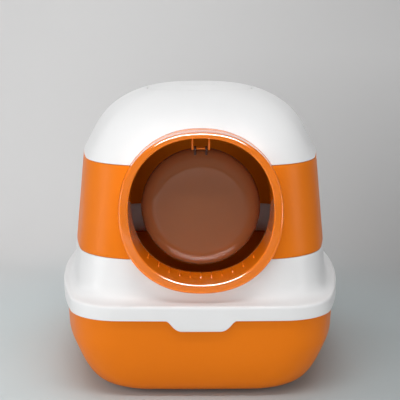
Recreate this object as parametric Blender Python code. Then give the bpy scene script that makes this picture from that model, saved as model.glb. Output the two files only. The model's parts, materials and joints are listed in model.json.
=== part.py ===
"""Hooded litter box: a tapered tray on four feet, a three-shell hood with a flange that caps the
tray rim, a raised round doorway with a short tunnel and a hanging flap, and a lift-out filter lid."""

import math
from collections import namedtuple

import bmesh
import bpy
from mathutils import Vector

# Driving dimensions, in metres. +X right, the doorway faces -Y, +Z up, floor at Z = 0.
WIDTH = 0.402
DEPTH = 0.496
HEIGHT = 0.405
WALL = 0.0025
GAP = 0.0003

# Plan outline: each side and each end is a shallow arc, joined by a corner arc.
SIDE_RADIUS = 0.800
END_RADIUS = 3.350
SIDE_STEPS = 3
CORNER_STEPS = 5
END_STEPS = 3

# Heights of the hood's parts
SKIRT_Z = 0.1127
FLANGE_Z = 0.1285
LOW_SEAM_Z = 0.189
HIGH_SEAM_Z = 0.313
TONGUE = 0.006
TONGUE_WALL = 0.0018
TONGUE_LEANS = (0.0042, 0.0017)

# Half sizes and corner radii in plan
FLANGE = (WIDTH / 2, DEPTH / 2, 0.070)
LOW_SEAM = (0.1808, 0.2177, 0.088)
HIGH_SEAM = (0.1690, 0.2075, 0.090)

# Tray
FOOT_HEIGHT = 0.004
FOOT_RADIUS = 0.010
FOOT_X = 0.098
FOOT_Y = 0.150
FOOT_CHAMFER = 0.001
FOOT_STEPS = 24
TRAY_BASE_Z = FOOT_HEIGHT + GAP
TRAY_WAIST_Z = 0.070
TRAY_RIM_Z = 0.1297
TRAY_RIM_INSET = 0.0042
TRAY_CAP_Z = 0.115
TRAY_BASE_CORNER = 0.061
# How far the tray's wall lies inside the flange, from the base's edge up to its waist: (inset, height)
TRAY_SIDES = [(0.0716, TRAY_BASE_Z), (0.0406, TRAY_BASE_Z), (0.0270, 0.022), (0.0072, TRAY_WAIST_Z)]
TRAY_ENDS = [(0.0500, TRAY_BASE_Z), (0.0260, TRAY_BASE_Z), (0.0125, 0.022), (0.0075, TRAY_WAIST_Z)]

# Front tab: half of its outline runs down this curve of (x, height)
TAB_Z = 0.0985
TAB_CURVE = [(0.047, SKIRT_Z), (0.041, SKIRT_Z), (0.0375, TAB_Z), (0.025, TAB_Z)]

# Dome: half widths and half depths against height, from the seam to the crown
DOME_WIDTHS = [(0.1690, HIGH_SEAM_Z), (0.150, 0.343), (0.1455, HEIGHT), (0.0, HEIGHT)]
DOME_DEPTHS = [(0.2075, HIGH_SEAM_Z), (0.205, 0.377), (0.180, HEIGHT), (0.0, HEIGHT)]
DOME_STEPS = 9
DOME_CROWN = 0.97
DOME_SOFTNESS = 0.75

# Doorway: superelliptic, centred on the front wall; its plane leans back with the wall.
DOOR_POWER = 2.2
DOOR_STEPS = 48
DOOR_Z = 0.2565
DOOR_WALL_Y = -0.2121
DOOR_LEAN = (LOW_SEAM[1] - HIGH_SEAM[1]) / (HIGH_SEAM_Z - LOW_SEAM_Z)
RING_OUTER = 0.108
RING_CREST = 0.0220
RING_DROP = 0.0025
RING_SQUASH = 0.020
RING_BACK = 0.030
CREST_FALL = 0.0008
LIP_ROUND = 0.0024
SHOULDER_ROUND = 0.0050
TUNNEL_FRONT = 0.0957
TUNNEL_REAR = 0.0945
TUNNEL_OUTER = 0.0980
TUNNEL_REAR_DEPTH = 0.044
SHELL_HOLE = 0.0992
HOLE_FRONT = 0.060
HOLE_BACK = 0.080
RIB_COUNT = 11
RIB_PITCH = 0.0141
RIB_WIDTH = 0.0016
RIB_HEIGHT = 0.0012
RIB_LENGTH = 0.030
RIB_ROOT = 0.0014
RIB_END_GAP = 0.0015

CLAMP_INNER = 0.0990
CLAMP_OUTER = 0.1070
CLAMP_BACK = 0.020
CLAMP_FRONT = 0.012

# Flap and its hinge
HINGE_Y = -0.178
HINGE_Z = 0.3325
HINGE_BAR_RADIUS = 0.0012
BRACKET_HALF = 0.0112
BRACKET_ARM = 0.0028
BRACKET_DEPTH = 0.0036
BRACKET_PAD = 0.010
BRACKET_PAD_HEIGHT = 0.0020
BRACKET_PAD_LIP = 0.0002
BRACKET_DROP = 0.0012
FLAP_Z = 0.2512
FLAP_RADIUS = 0.0812
FLAP_WALL = 0.0024
FLAP_BULGE = 0.0050
FLAP_FLAT = 0.056
FLAP_RIM = 0.0125
FLAP_STEPS = 40
FLAP_MIDDLE = 0.0020
FLAP_RIM_THIN = 0.9
HOOK_X = 0.0075
HOOK_HALF = 0.0016
HOOK_RADIUS = 0.0034
HOOK_REACH = 0.0100
HOOK_LEG_FRONT = 0.0010
HOOK_LEG_BACK = 0.0028
HOOK_LEG_TOP = 0.0022

# Filter lid in the dome's top
LID_RADIUS = 0.0772
LID_HOLE = 0.0780
LID_PLUG_OUTER = 0.0712
LID_PLUG_INNER = 0.0690
LID_FLANGE_Z = HEIGHT - 0.0102
LID_PLUG_Z = HEIGHT - 0.0185
SEAT_OUTER = 0.0815
SEAT_INNER = 0.0718
SEAT_Z = HEIGHT - 0.0190
PAD_LOW_Z = HEIGHT - 0.0157
PAD_HIGH_Z = HEIGHT - 0.0100
PAD_CHAMFER = 0.001
GRILLE_TOP_Z = HEIGHT - 0.0160
LID_SLOTS = (5, 0.013, 0.003, 0.060)
GRILLE_SLOTS = (7, 0.015, 0.007, 0.108)
LID_CUT = 0.020
LID_OVER = 0.010
SLOT_SPREAD = 0.62
TURN_STEPS = 36

# Clips across the hood's seams
CLIP_LENGTH = 0.026
CLIP_HEIGHT = 0.020
CLIP_THICK = 0.0025
CLIP_DEPTHS = {"low": 0.0082, "high": 0.0112}
CLIP_Y = 0.090

Level = namedtuple("Level", "half_w half_d corner z soft", defaults=(0.0,))


def clear_scene():
    for obj in list(bpy.data.objects):
        bpy.data.objects.remove(obj, do_unlink=True)


def make_material(name, colour, roughness, metallic=0.0, alpha=1.0):
    material = bpy.data.materials.new(name)
    material.use_nodes = True
    shader = material.node_tree.nodes["Principled BSDF"]
    shader.inputs["Base Color"].default_value = (*colour, 1.0)
    shader.inputs["Roughness"].default_value = roughness
    shader.inputs["Metallic"].default_value = metallic
    shader.inputs["Alpha"].default_value = alpha
    return material


def make_object(name, mesh_data, material=None):
    """Turns a bmesh into a named object, faces outward, smooth with sharp edges kept."""
    bmesh.ops.remove_doubles(mesh_data, verts=mesh_data.verts, dist=1e-7)
    bmesh.ops.recalc_face_normals(mesh_data, faces=mesh_data.faces)
    bmesh.ops.triangulate(mesh_data, faces=mesh_data.faces)
    mesh = bpy.data.meshes.new(name)
    mesh_data.to_mesh(mesh)
    mesh_data.free()
    mesh.shade_smooth()
    mesh.set_sharp_from_angle(angle=math.radians(35))
    obj = bpy.data.objects.new(name, mesh)
    bpy.context.scene.collection.objects.link(obj)
    if material:
        mesh.materials.append(material)
    return obj


def helper(obj):
    obj.hide_render = True
    obj.display_type = "WIRE"
    return obj


def combine(obj, other, operation, solver="EXACT"):
    modifier = obj.modifiers.new(operation.lower() + "_" + other.name, "BOOLEAN")
    modifier.object = other
    modifier.operation = operation
    modifier.solver = solver


def bezier_point(points, t):
    weights = ((1 - t) ** 3, 3 * t * (1 - t) ** 2, 3 * t * t * (1 - t), t**3)
    return tuple(sum(w * p[axis] for w, p in zip(weights, points)) for axis in (0, 1))


def bezier(points, count):
    """Points along a cubic Bezier curve, ends included."""
    return [bezier_point(points, step / count) for step in range(count + 1)]


def quarter_outline(half_w, half_d, corner):
    """Plan points from the middle of the +X side to just before the middle of the +Y end."""
    side_centre = Vector((half_w - SIDE_RADIUS, 0.0))
    end_centre = Vector((0.0, half_d - END_RADIUS))
    span = end_centre - side_centre
    side_reach = SIDE_RADIUS - corner
    end_reach = END_RADIUS - corner
    along = (span.length_squared + side_reach**2 - end_reach**2) / (2 * span.length)
    across = math.sqrt(side_reach**2 - along**2)
    unit = span.normalized()
    centre = side_centre + unit * along + Vector((-unit.y, unit.x)) * across
    side_end = math.atan2(centre.y - side_centre.y, centre.x - side_centre.x)
    corner_end = math.atan2(centre.y - end_centre.y, centre.x - end_centre.x)
    arcs = (
        (side_centre, SIDE_RADIUS, 0.0, side_end, SIDE_STEPS),
        (centre, corner, side_end, corner_end, CORNER_STEPS),
        (end_centre, END_RADIUS, corner_end, math.pi / 2, END_STEPS),
    )
    points = []
    for middle, radius, start, stop, steps in arcs:
        for step in range(steps):
            angle = start + (stop - start) * step / steps
            points.append(middle + radius * Vector((math.cos(angle), math.sin(angle))))
    return points


def outline(level):
    """The whole plan loop of a level, counter-clockwise; soft blends it towards an ellipse."""
    quarter = quarter_outline(level.half_w, level.half_d, level.corner)
    end = Vector((0.0, level.half_d))
    loop = list(quarter)
    loop += [end] + [Vector((-p.x, p.y)) for p in reversed(quarter[1:])]
    loop += [Vector((-p.x, -p.y)) for p in quarter]
    loop += [-end] + [Vector((p.x, -p.y)) for p in reversed(quarter[1:])]
    points = []
    for p in loop:
        reach = p.length / math.hypot(p.x / level.half_w, p.y / level.half_d)
        place = p * (1 - level.soft + level.soft * reach / p.length)
        points.append((place.x, place.y, level.z))
    return points


def bridge(mesh_data, loops, closed):
    """Faces between consecutive loops; closed joins the last loop to the first, else both are capped."""
    rings = [[mesh_data.verts.new(point) for point in loop] for loop in loops]
    pairs = list(zip(rings, rings[1:]))
    if closed:
        pairs.append((rings[-1], rings[0]))
    else:
        mesh_data.faces.new(rings[0])
        mesh_data.faces.new(rings[-1])
    for lower, upper in pairs:
        for i in range(len(lower)):
            j = (i + 1) % len(lower)
            mesh_data.faces.new((lower[i], lower[j], upper[j], upper[i]))


def normals_of(levels):
    """Outward unit normals of a profile of levels, in (plan, height)."""
    found = []
    for i in range(len(levels)):
        before = levels[max(i - 1, 0)]
        after = levels[min(i + 1, len(levels) - 1)]
        run = Vector((after.half_w - before.half_w, after.z - before.z)).normalized()
        found.append(Vector((run.y, -run.x)))
    return found


def offset(levels, distance, level_ends=(True, True)):
    """The levels moved inward by a distance along the profile's normal; a level end stays at its height."""
    normals = normals_of(levels)
    if level_ends[0]:
        normals[0] = Vector((1.0, 0.0))
    if level_ends[1]:
        normals[-1] = Vector((1.0, 0.0))
    moved = []
    for level, normal in zip(levels, normals):
        inward = distance * normal.x
        moved.append(
            Level(level.half_w - inward, level.half_d - inward, level.corner - inward,
                  level.z - distance * normal.y, level.soft)
        )
    return moved


def between(low, high, share):
    return tuple(a + (b - a) * share for a, b in zip(low, high))


def tray_levels():
    """Outer profile of the tray, from the edge of its flat base to the rim."""
    profile = [(side, end, z) for (side, z), (end, _) in zip(bezier(TRAY_SIDES, 6), bezier(TRAY_ENDS, 6))]
    profile += [(TRAY_RIM_INSET, TRAY_RIM_INSET, TRAY_CAP_Z), (TRAY_RIM_INSET, TRAY_RIM_INSET, TRAY_RIM_Z)]
    levels = []
    for side, end, z in profile:
        share = side / TRAY_SIDES[0][0]
        corner = FLANGE[2] + (TRAY_BASE_CORNER - FLANGE[2]) * share
        levels.append(Level(FLANGE[0] - side, FLANGE[1] - end, corner, z))
    return levels


def lower_hood_levels():
    """Outer profile of the lower hood: skirt, flange with rounded edge, fillet, and wall."""
    shares = [(0.0, SKIRT_Z), (0.0, FLANGE_Z), (0.06, 0.1314), (0.2, 0.1328)]
    shares += bezier([(0.2, 0.1328), (0.73, 0.1338), (0.85, 0.1400), (0.9, 0.160)], 5)[1:]
    shares += [(1.0, LOW_SEAM_Z)]
    return [Level(*between(FLANGE, LOW_SEAM, share), z) for share, z in shares]


def band_level(z):
    """The straight tapering wall between the two seams, and its extension past them."""
    share = (z - LOW_SEAM_Z) / (HIGH_SEAM_Z - LOW_SEAM_Z)
    return Level(*between(LOW_SEAM, HIGH_SEAM, share), z)


def dome_levels(bottom_z=HIGH_SEAM_Z):
    """Outer profile of the dome, from its seam almost to its middle; the ends are fuller than the sides."""
    levels = []
    for step in range(DOME_STEPS + 1):
        t = min(step / DOME_STEPS, DOME_CROWN)
        half_w, z = bezier_point(DOME_WIDTHS, t)
        half_d, _ = bezier_point(DOME_DEPTHS, t)
        corner = HIGH_SEAM[2] * half_w / HIGH_SEAM[0]
        levels.append(Level(half_w, half_d, corner, z, DOME_SOFTNESS * t**1.5))
    levels[0] = levels[0]._replace(z=bottom_z)
    levels[-1] = levels[-1]._replace(z=HEIGHT)
    return levels


def hood_levels():
    """The whole hood's outer profile above the flange, as one smooth run."""
    return lower_hood_levels()[4:] + dome_levels()


def solid_of(levels):
    mesh_data = bmesh.new()
    bridge(mesh_data, [outline(level) for level in levels], closed=False)
    return mesh_data


def tube_of(outer, inner):
    mesh_data = bmesh.new()
    bridge(mesh_data, [outline(level) for level in outer + inner[::-1]], closed=True)
    return mesh_data


def door_loop(radius, proud):
    """A superelliptic loop round the doorway, a distance proud of the leaning wall plane. Beyond the
    tunnel the loops sink and flatten a little, so the ring is narrower at its top than at its bottom."""
    share = max(radius - TUNNEL_FRONT, 0.0) / (RING_OUTER - TUNNEL_FRONT)
    points = []
    for step in range(DOOR_STEPS):
        angle = math.tau * step / DOOR_STEPS
        c, s = math.cos(angle), math.sin(angle)
        x = radius * math.copysign(abs(c) ** (2 / DOOR_POWER), c)
        rise = radius * math.copysign(abs(s) ** (2 / DOOR_POWER), s)
        rise = rise * (1 - RING_SQUASH * share) - RING_DROP * share
        points.append((x, DOOR_WALL_Y - proud + rise * DOOR_LEAN, DOOR_Z + rise))
    return points


def door_plug(name, radius, front, back):
    mesh_data = bmesh.new()
    bridge(mesh_data, [door_loop(radius, front), door_loop(radius, back)], closed=False)
    return helper(make_object(name, mesh_data))


def turned(profile, closed=True):
    """A solid of revolution about the vertical through the origin; profile runs in (radius, z)."""
    mesh_data = bmesh.new()
    loops = []
    for radius, z in profile:
        turn = [math.tau * step / TURN_STEPS for step in range(TURN_STEPS)]
        loops.append([(radius * math.cos(a), radius * math.sin(a), z) for a in turn])
    bridge(mesh_data, loops, closed)
    return mesh_data


def box(mesh_data, low, high):
    """Adds a closed box between two corners."""
    size = Vector(high) - Vector(low)
    made = bmesh.ops.create_cube(mesh_data, size=1.0)
    bmesh.ops.scale(mesh_data, vec=size, verts=made["verts"])
    bmesh.ops.translate(mesh_data, vec=(Vector(low) + Vector(high)) / 2, verts=made["verts"])
    return made["verts"]


def soft_box(name, low, high, bevel, material):
    """A box with all its edges rounded."""
    mesh_data = bmesh.new()
    box(mesh_data, low, high)
    bmesh.ops.bevel(mesh_data, geom=list(mesh_data.edges), offset=bevel, segments=1, affect="EDGES")
    return make_object(name, mesh_data, material)


def x_cylinder(name, radius, half_length, y, z, material=None, steps=16):
    mesh_data = bmesh.new()
    loops = []
    for x in (-half_length, half_length):
        turn = [math.tau * step / steps for step in range(steps)]
        loops.append([(x, y + radius * math.cos(a), z + radius * math.sin(a)) for a in turn])
    bridge(mesh_data, loops, closed=False)
    return make_object(name, mesh_data, material)


def make_tray(material):
    outer = tray_levels()
    inner = offset(outer, WALL, level_ends=(False, True))
    mesh_data = bmesh.new()
    bridge(mesh_data, [outline(level) for level in outer + inner[::-1]], closed=False)
    return make_object("tray", mesh_data, material)


def make_feet(material):
    for side, x in (("left", -FOOT_X), ("right", FOOT_X)):
        for end, y in (("front", -FOOT_Y), ("rear", FOOT_Y)):
            mesh_data = bmesh.new()
            profile = [(FOOT_RADIUS - FOOT_CHAMFER, 0.0), (FOOT_RADIUS, FOOT_CHAMFER), (FOOT_RADIUS, FOOT_HEIGHT)]
            loops = []
            for radius, z in profile:
                turn = [math.tau * step / FOOT_STEPS for step in range(FOOT_STEPS)]
                loops.append([(radius * math.cos(a), radius * math.sin(a), z) for a in turn])
            bridge(mesh_data, loops, closed=False)
            foot = make_object(f"foot_{end}_{side}", mesh_data, material)
            foot.location = (x, y, 0.0)


def make_tab():
    """The tongue of the skirt at the front, with S-shaped shoulders."""
    half = [(TAB_CURVE[0][0], SKIRT_Z + 0.005)] + bezier(TAB_CURVE, 8)
    shape = half + [(-x, z) for x, z in reversed(half)]
    front = -FLANGE[1] + 0.0004
    mesh_data = bmesh.new()
    bridge(mesh_data, [[(x, y, z) for x, z in shape] for y in (front, front + WALL)], closed=False)
    return helper(make_object("tab_shape", mesh_data))


def make_lower_hood(door_hole, material):
    outer = lower_hood_levels()
    shell = make_object("lower_hood", tube_of(outer, offset(outer, WALL)), material)
    combine(shell, make_tab(), "UNION")
    combine(shell, door_hole, "DIFFERENCE")


def make_band(door_hole, material):
    """A tapering tube whose thinner upper and lower tongues tuck behind the white shells."""
    low, high = LOW_SEAM_Z + GAP, HIGH_SEAM_Z - GAP
    step = WALL + GAP
    low_out = offset([band_level(LOW_SEAM_Z - TONGUE), band_level(low)], step)
    high_out = offset([band_level(high), band_level(HIGH_SEAM_Z + TONGUE)], step)
    top = high_out[1]
    side_lean, end_lean = TONGUE_LEANS
    high_out[1] = Level(top.half_w - side_lean, top.half_d - end_lean, top.corner - side_lean, top.z)
    outer = [low_out[0], low_out[1], band_level(low), band_level(high), high_out[0], high_out[1]]
    inner = offset([low_out[0], low_out[1], high_out[0], high_out[1]], TONGUE_WALL)
    shell = make_object("hood_band", tube_of(outer, inner), material)
    combine(shell, door_hole, "DIFFERENCE")


def make_dome(door_hole, lid_hole, material):
    outer = dome_levels(HIGH_SEAM_Z + GAP)
    inner = offset(outer, WALL, level_ends=(True, False))
    mesh_data = bmesh.new()
    bridge(mesh_data, [outline(level) for level in inner[::-1] + outer], closed=False)
    shell = make_object("hood_dome", mesh_data, material)
    combine(shell, door_hole, "DIFFERENCE")
    combine(shell, lid_hole, "DIFFERENCE")


def ring_profile():
    """(radius, proud) from the tunnel's rear edge over the lip, crest and shoulder, and back inside."""
    lip = (TUNNEL_FRONT + LIP_ROUND, RING_CREST - LIP_ROUND)
    shoulder = (RING_OUTER - SHOULDER_ROUND, RING_CREST - CREST_FALL - SHOULDER_ROUND)
    profile = [(TUNNEL_REAR, -TUNNEL_REAR_DEPTH)]
    for centre, radius, angles in ((lip, LIP_ROUND, (180, 135, 90)), (shoulder, SHOULDER_ROUND, (80, 55, 28, 0))):
        for degrees in angles:
            turn = math.radians(degrees)
            profile.append((centre[0] + radius * math.cos(turn), centre[1] + radius * math.sin(turn)))
    profile += [(RING_OUTER, -RING_BACK), (TUNNEL_OUTER, -RING_BACK), (TUNNEL_OUTER - 0.001, -TUNNEL_REAR_DEPTH)]
    return profile


def make_entry_ring(ring_cutter, material):
    """The raised ring and its tunnel; the back of the ring is cut to the hood's surface."""
    mesh_data = bmesh.new()
    bridge(mesh_data, [door_loop(radius, proud) for radius, proud in ring_profile()], closed=True)
    ring = make_object("entry_ring", mesh_data, material)
    # The exact solver leaves open edges where the cut runs along the tunnel.
    combine(ring, ring_cutter, "DIFFERENCE", solver="MANIFOLD")
    combine(ring, make_ribs(), "UNION", solver="MANIFOLD")


def make_ribs():
    """The row of low ribs along the rear of the tunnel floor."""
    mesh_data = bmesh.new()
    for index in range(RIB_COUNT):
        x = (index - (RIB_COUNT - 1) / 2) * RIB_PITCH
        reach = 1 - (abs(x) / TUNNEL_REAR) ** DOOR_POWER
        floor = -TUNNEL_REAR * reach ** (1 / DOOR_POWER)
        back = DOOR_WALL_Y + TUNNEL_REAR_DEPTH + floor * DOOR_LEAN - RIB_END_GAP
        z = DOOR_Z + floor
        box(mesh_data, (x - RIB_WIDTH / 2, back - RIB_LENGTH, z - RIB_ROOT),
            (x + RIB_WIDTH / 2, back, z + RIB_HEIGHT))
    return helper(make_object("ribs_shape", mesh_data))


def make_inner_ring(cavity, material):
    """The clamp ring inside the hood; its front is cut to the inside of the shells."""
    profile = [(CLAMP_INNER, -CLAMP_BACK), (CLAMP_INNER, CLAMP_FRONT),
               (CLAMP_OUTER, CLAMP_FRONT), (CLAMP_OUTER, -CLAMP_BACK)]
    mesh_data = bmesh.new()
    bridge(mesh_data, [door_loop(radius, proud) for radius, proud in profile], closed=True)
    ring = make_object("inner_ring", mesh_data, material)
    combine(ring, cavity, "INTERSECT", solver="MANIFOLD")


def make_bracket(material):
    """A U that hangs from the tunnel ceiling: two arms on pads, and the round bar the flap hangs on."""
    ceiling = DOOR_Z + TUNNEL_REAR - BRACKET_DROP
    bar = x_cylinder("hinge_bracket", HINGE_BAR_RADIUS, BRACKET_HALF, HINGE_Y, HINGE_Z, material)
    for side in (-1, 1):
        mesh_data = bmesh.new()
        x = side * BRACKET_HALF
        half_arm, half_depth = BRACKET_ARM / 2, BRACKET_DEPTH / 2
        half_pad = half_arm + BRACKET_PAD_LIP
        pad_front = HINGE_Y - half_depth - BRACKET_PAD_LIP
        box(mesh_data, (x - half_arm, HINGE_Y - half_depth, HINGE_Z - half_depth),
            (x + half_arm, HINGE_Y + half_depth, ceiling - BRACKET_PAD_HEIGHT / 2))
        arm = helper(make_object(f"bracket_arm_{side}", mesh_data))
        pad_data = bmesh.new()
        box(pad_data, (x - half_pad, pad_front, ceiling - BRACKET_PAD_HEIGHT),
            (x + half_pad, pad_front + BRACKET_PAD, ceiling))
        pad = helper(make_object(f"bracket_pad_{side}", pad_data))
        combine(arm, pad, "UNION")
        combine(bar, arm, "UNION")


def make_flap(material):
    """A shallow round bowl with a flat face and a rounded rim, and two hooks round the bracket's bar."""
    rim = [(FLAP_FLAT, -FLAP_BULGE), (FLAP_FLAT + 0.014, -FLAP_BULGE), (FLAP_RADIUS - 0.0015, 0.0005),
           (FLAP_RADIUS, FLAP_RIM)]
    front = [(FLAP_MIDDLE, -FLAP_BULGE)] + bezier(rim, 4)
    back = []
    for radius, y in front:
        share = radius / FLAP_RADIUS
        back.append((radius - FLAP_WALL * share**3, y + FLAP_WALL * (1 - FLAP_RIM_THIN * share**6)))
    loops = []
    for radius, y in front + back[::-1]:
        turn = [math.tau * step / FLAP_STEPS for step in range(FLAP_STEPS)]
        loops.append([(radius * math.sin(a), y, FLAP_Z - HINGE_Z + radius * math.cos(a)) for a in turn])
    mesh_data = bmesh.new()
    bridge(mesh_data, loops, closed=False)
    flap = make_object("flap_panel", mesh_data, material)
    flap.location = (0.0, HINGE_Y, HINGE_Z)
    for side in (-1, 1):
        hook = make_hook(f"flap_hook_{side}", side * HOOK_X)
        combine(flap, hook, "UNION")


def make_hook(name, x):
    """A plate that rises from the flap and ends in an eye round the bar."""
    half = HOOK_HALF
    bore = HINGE_BAR_RADIUS + GAP
    steps = 16
    mesh_data = bmesh.new()
    eye = []
    for radius, face in ((HOOK_RADIUS, -half), (HOOK_RADIUS, half), (bore, half), (bore, -half)):
        turn = [math.tau * step / steps for step in range(steps)]
        eye.append([(x + face, HINGE_Y + radius * math.cos(a), HINGE_Z + radius * math.sin(a)) for a in turn])
    bridge(mesh_data, eye, closed=True)
    hook = helper(make_object(name, mesh_data))
    leg_data = bmesh.new()
    box(leg_data, (x - half, HINGE_Y - HOOK_LEG_FRONT, HINGE_Z - HOOK_REACH),
        (x + half, HINGE_Y + HOOK_LEG_BACK, HINGE_Z - HOOK_LEG_TOP))
    leg = helper(make_object(name + "_leg", leg_data))
    combine(hook, leg, "UNION")
    return hook


def make_filter_lid(hood_solid, cavity_full, material):
    """The round lid: the dome's own surface, with a plug that drops into the seat."""
    top = HEIGHT + LID_OVER
    blank = turned([(0.001, LID_PLUG_Z), (LID_PLUG_OUTER, LID_PLUG_Z), (LID_PLUG_OUTER, LID_FLANGE_Z),
                    (LID_RADIUS, LID_FLANGE_Z), (LID_RADIUS, top), (0.001, top)], closed=False)
    lid = make_object("filter_lid", blank, material)
    combine(lid, hood_solid, "INTERSECT")
    pocket = helper(make_object("lid_pocket", turned(
        [(LID_PLUG_INNER, LID_PLUG_Z - 0.004), (LID_PLUG_INNER, top)], closed=False)))
    combine(pocket, cavity_full, "INTERSECT")
    combine(lid, pocket, "DIFFERENCE")
    combine(lid, make_slots("lid_slots", LID_SLOTS, LID_PLUG_Z - 0.001, top), "DIFFERENCE")


def make_slots(name, sizes, low_z, high_z):
    """A row of upright slot cutters along X, shorter towards the ends of the row."""
    count, pitch, width, longest = sizes
    mesh_data = bmesh.new()
    for index in range(count):
        y = (index - (count - 1) / 2) * pitch
        half = longest / 2 * math.sqrt(1 - (y / (count * pitch * SLOT_SPREAD)) ** 2)
        box(mesh_data, (-half, y - width / 2, low_z), (half, y + width / 2, high_z))
    return helper(make_object(name, mesh_data))


def make_filter_parts(cavity, seat_material, pad_material, grille_material):
    seat = make_object("filter_seat", turned(
        [(SEAT_INNER, SEAT_Z), (SEAT_OUTER, SEAT_Z), (SEAT_OUTER, HEIGHT), (LID_HOLE + 2 * GAP, HEIGHT),
         (LID_HOLE + 2 * GAP, LID_FLANGE_Z - GAP), (SEAT_INNER, LID_FLANGE_Z - GAP)]), seat_material)
    combine(seat, cavity, "INTERSECT", solver="MANIFOLD")
    inside = LID_PLUG_INNER - 0.0005
    make_object("filter_pad", turned(
        [(inside - 2 * PAD_CHAMFER, PAD_LOW_Z), (inside - PAD_CHAMFER, PAD_LOW_Z + PAD_CHAMFER),
         (inside - PAD_CHAMFER, PAD_HIGH_Z - PAD_CHAMFER), (inside - 2 * PAD_CHAMFER, PAD_HIGH_Z)],
        closed=False), pad_material)
    grille = make_object("filter_grille", turned(
        [(inside, LID_PLUG_Z + 0.0004), (inside, GRILLE_TOP_Z)], closed=False), grille_material)
    slots = make_slots("grille_slots", GRILLE_SLOTS, LID_PLUG_Z - 0.005, GRILLE_TOP_Z + 0.005)
    combine(grille, slots, "DIFFERENCE")


def make_seam_clips(material):
    """Small plates inside the side walls, four across each seam."""
    for seam, z in (("low", LOW_SEAM_Z), ("high", HIGH_SEAM_Z)):
        wall = band_level(z)
        turn = math.asin(CLIP_Y / SIDE_RADIUS)
        reach = SIDE_RADIUS - CLIP_DEPTHS[seam] - CLIP_THICK / 2
        for side, x_sign in (("left", -1), ("right", 1)):
            for end, y_sign in (("front", -1), ("rear", 1)):
                clip = soft_box(f"seam_clip_{seam}_{end}_{side}",
                                (-CLIP_THICK / 2, -CLIP_LENGTH / 2, -CLIP_HEIGHT / 2),
                                (CLIP_THICK / 2, CLIP_LENGTH / 2, CLIP_HEIGHT / 2), 0.0006, material)
                x = wall.half_w - SIDE_RADIUS + reach * math.cos(turn)
                clip.location = (x_sign * x, y_sign * reach * math.sin(turn), z)
                clip.rotation_euler = (0.0, -x_sign * math.atan(DOOR_LEAN), x_sign * y_sign * turn)


def main():
    clear_scene()
    white = make_material("white_plastic", (0.82, 0.82, 0.82), 0.32)
    orange = make_material("orange_plastic", (0.75, 0.16, 0.012), 0.32)
    ring_orange = make_material("orange_gloss", (0.76, 0.17, 0.010), 0.22)
    smoked = make_material("smoked_plastic", (0.16, 0.07, 0.035), 0.12, alpha=0.6)
    rubber = make_material("grey_rubber", (0.10, 0.10, 0.10), 0.8)
    charcoal = make_material("charcoal_felt", (0.03, 0.03, 0.03), 0.95)
    liner = make_material("white_inner_plastic", (0.75, 0.75, 0.75), 0.45)

    door_hole = door_plug("door_hole", SHELL_HOLE, HOLE_FRONT, -HOLE_BACK)
    ring_core = door_plug("ring_core", TUNNEL_OUTER + 2 * GAP, HOLE_FRONT, -HOLE_BACK)
    lid_hole = helper(make_object("lid_hole", turned(
        [(LID_HOLE, HEIGHT - LID_CUT), (LID_HOLE, HEIGHT + LID_OVER)], closed=False)))
    hood_solid = helper(make_object("hood_solid", solid_of(hood_levels())))
    ring_cutter_levels = offset(hood_levels(), -GAP, level_ends=(True, False))
    ring_cutter = helper(make_object("ring_cutter", solid_of(ring_cutter_levels)))
    combine(ring_cutter, ring_core, "DIFFERENCE")
    cavity_full = helper(make_object("cavity_full", solid_of(
        offset(hood_levels(), WALL, level_ends=(True, False)))))
    cavity = helper(make_object("cavity", solid_of(
        offset(hood_levels(), WALL + TONGUE_WALL + 6 * GAP, level_ends=(True, False)))))

    make_tray(orange)
    make_feet(rubber)
    make_lower_hood(door_hole, white)
    make_band(door_hole, orange)
    make_dome(door_hole, lid_hole, white)
    make_entry_ring(ring_cutter, ring_orange)
    make_inner_ring(cavity, ring_orange)
    make_bracket(ring_orange)
    make_flap(smoked)
    make_filter_lid(hood_solid, cavity_full, white)
    make_filter_parts(cavity, liner, charcoal, liner)
    make_seam_clips(liner)


main()
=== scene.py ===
import functools
import json
import math

import bpy
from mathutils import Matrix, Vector


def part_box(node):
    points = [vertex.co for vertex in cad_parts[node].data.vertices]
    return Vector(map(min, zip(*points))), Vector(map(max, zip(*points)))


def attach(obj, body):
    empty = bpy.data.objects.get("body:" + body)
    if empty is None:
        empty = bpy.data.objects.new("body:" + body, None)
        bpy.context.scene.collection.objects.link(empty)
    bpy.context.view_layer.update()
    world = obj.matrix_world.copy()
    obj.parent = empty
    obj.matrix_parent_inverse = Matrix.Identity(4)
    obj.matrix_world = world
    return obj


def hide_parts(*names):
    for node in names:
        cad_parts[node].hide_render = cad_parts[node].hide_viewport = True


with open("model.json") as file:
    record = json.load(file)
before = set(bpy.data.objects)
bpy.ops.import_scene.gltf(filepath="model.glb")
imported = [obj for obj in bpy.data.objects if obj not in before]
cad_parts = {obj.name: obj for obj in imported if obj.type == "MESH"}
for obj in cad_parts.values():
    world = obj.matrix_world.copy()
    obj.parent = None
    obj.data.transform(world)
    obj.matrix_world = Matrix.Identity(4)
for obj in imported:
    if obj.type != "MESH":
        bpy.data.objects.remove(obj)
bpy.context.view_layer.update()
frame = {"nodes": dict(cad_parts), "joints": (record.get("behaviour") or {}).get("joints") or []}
print("frame loaded:", len(frame["nodes"]), "nodes")


# Sizes that every piece shares, read off the frame

def boxOf(node):
    low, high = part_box(node)
    return Vector(low), Vector(high)


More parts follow.
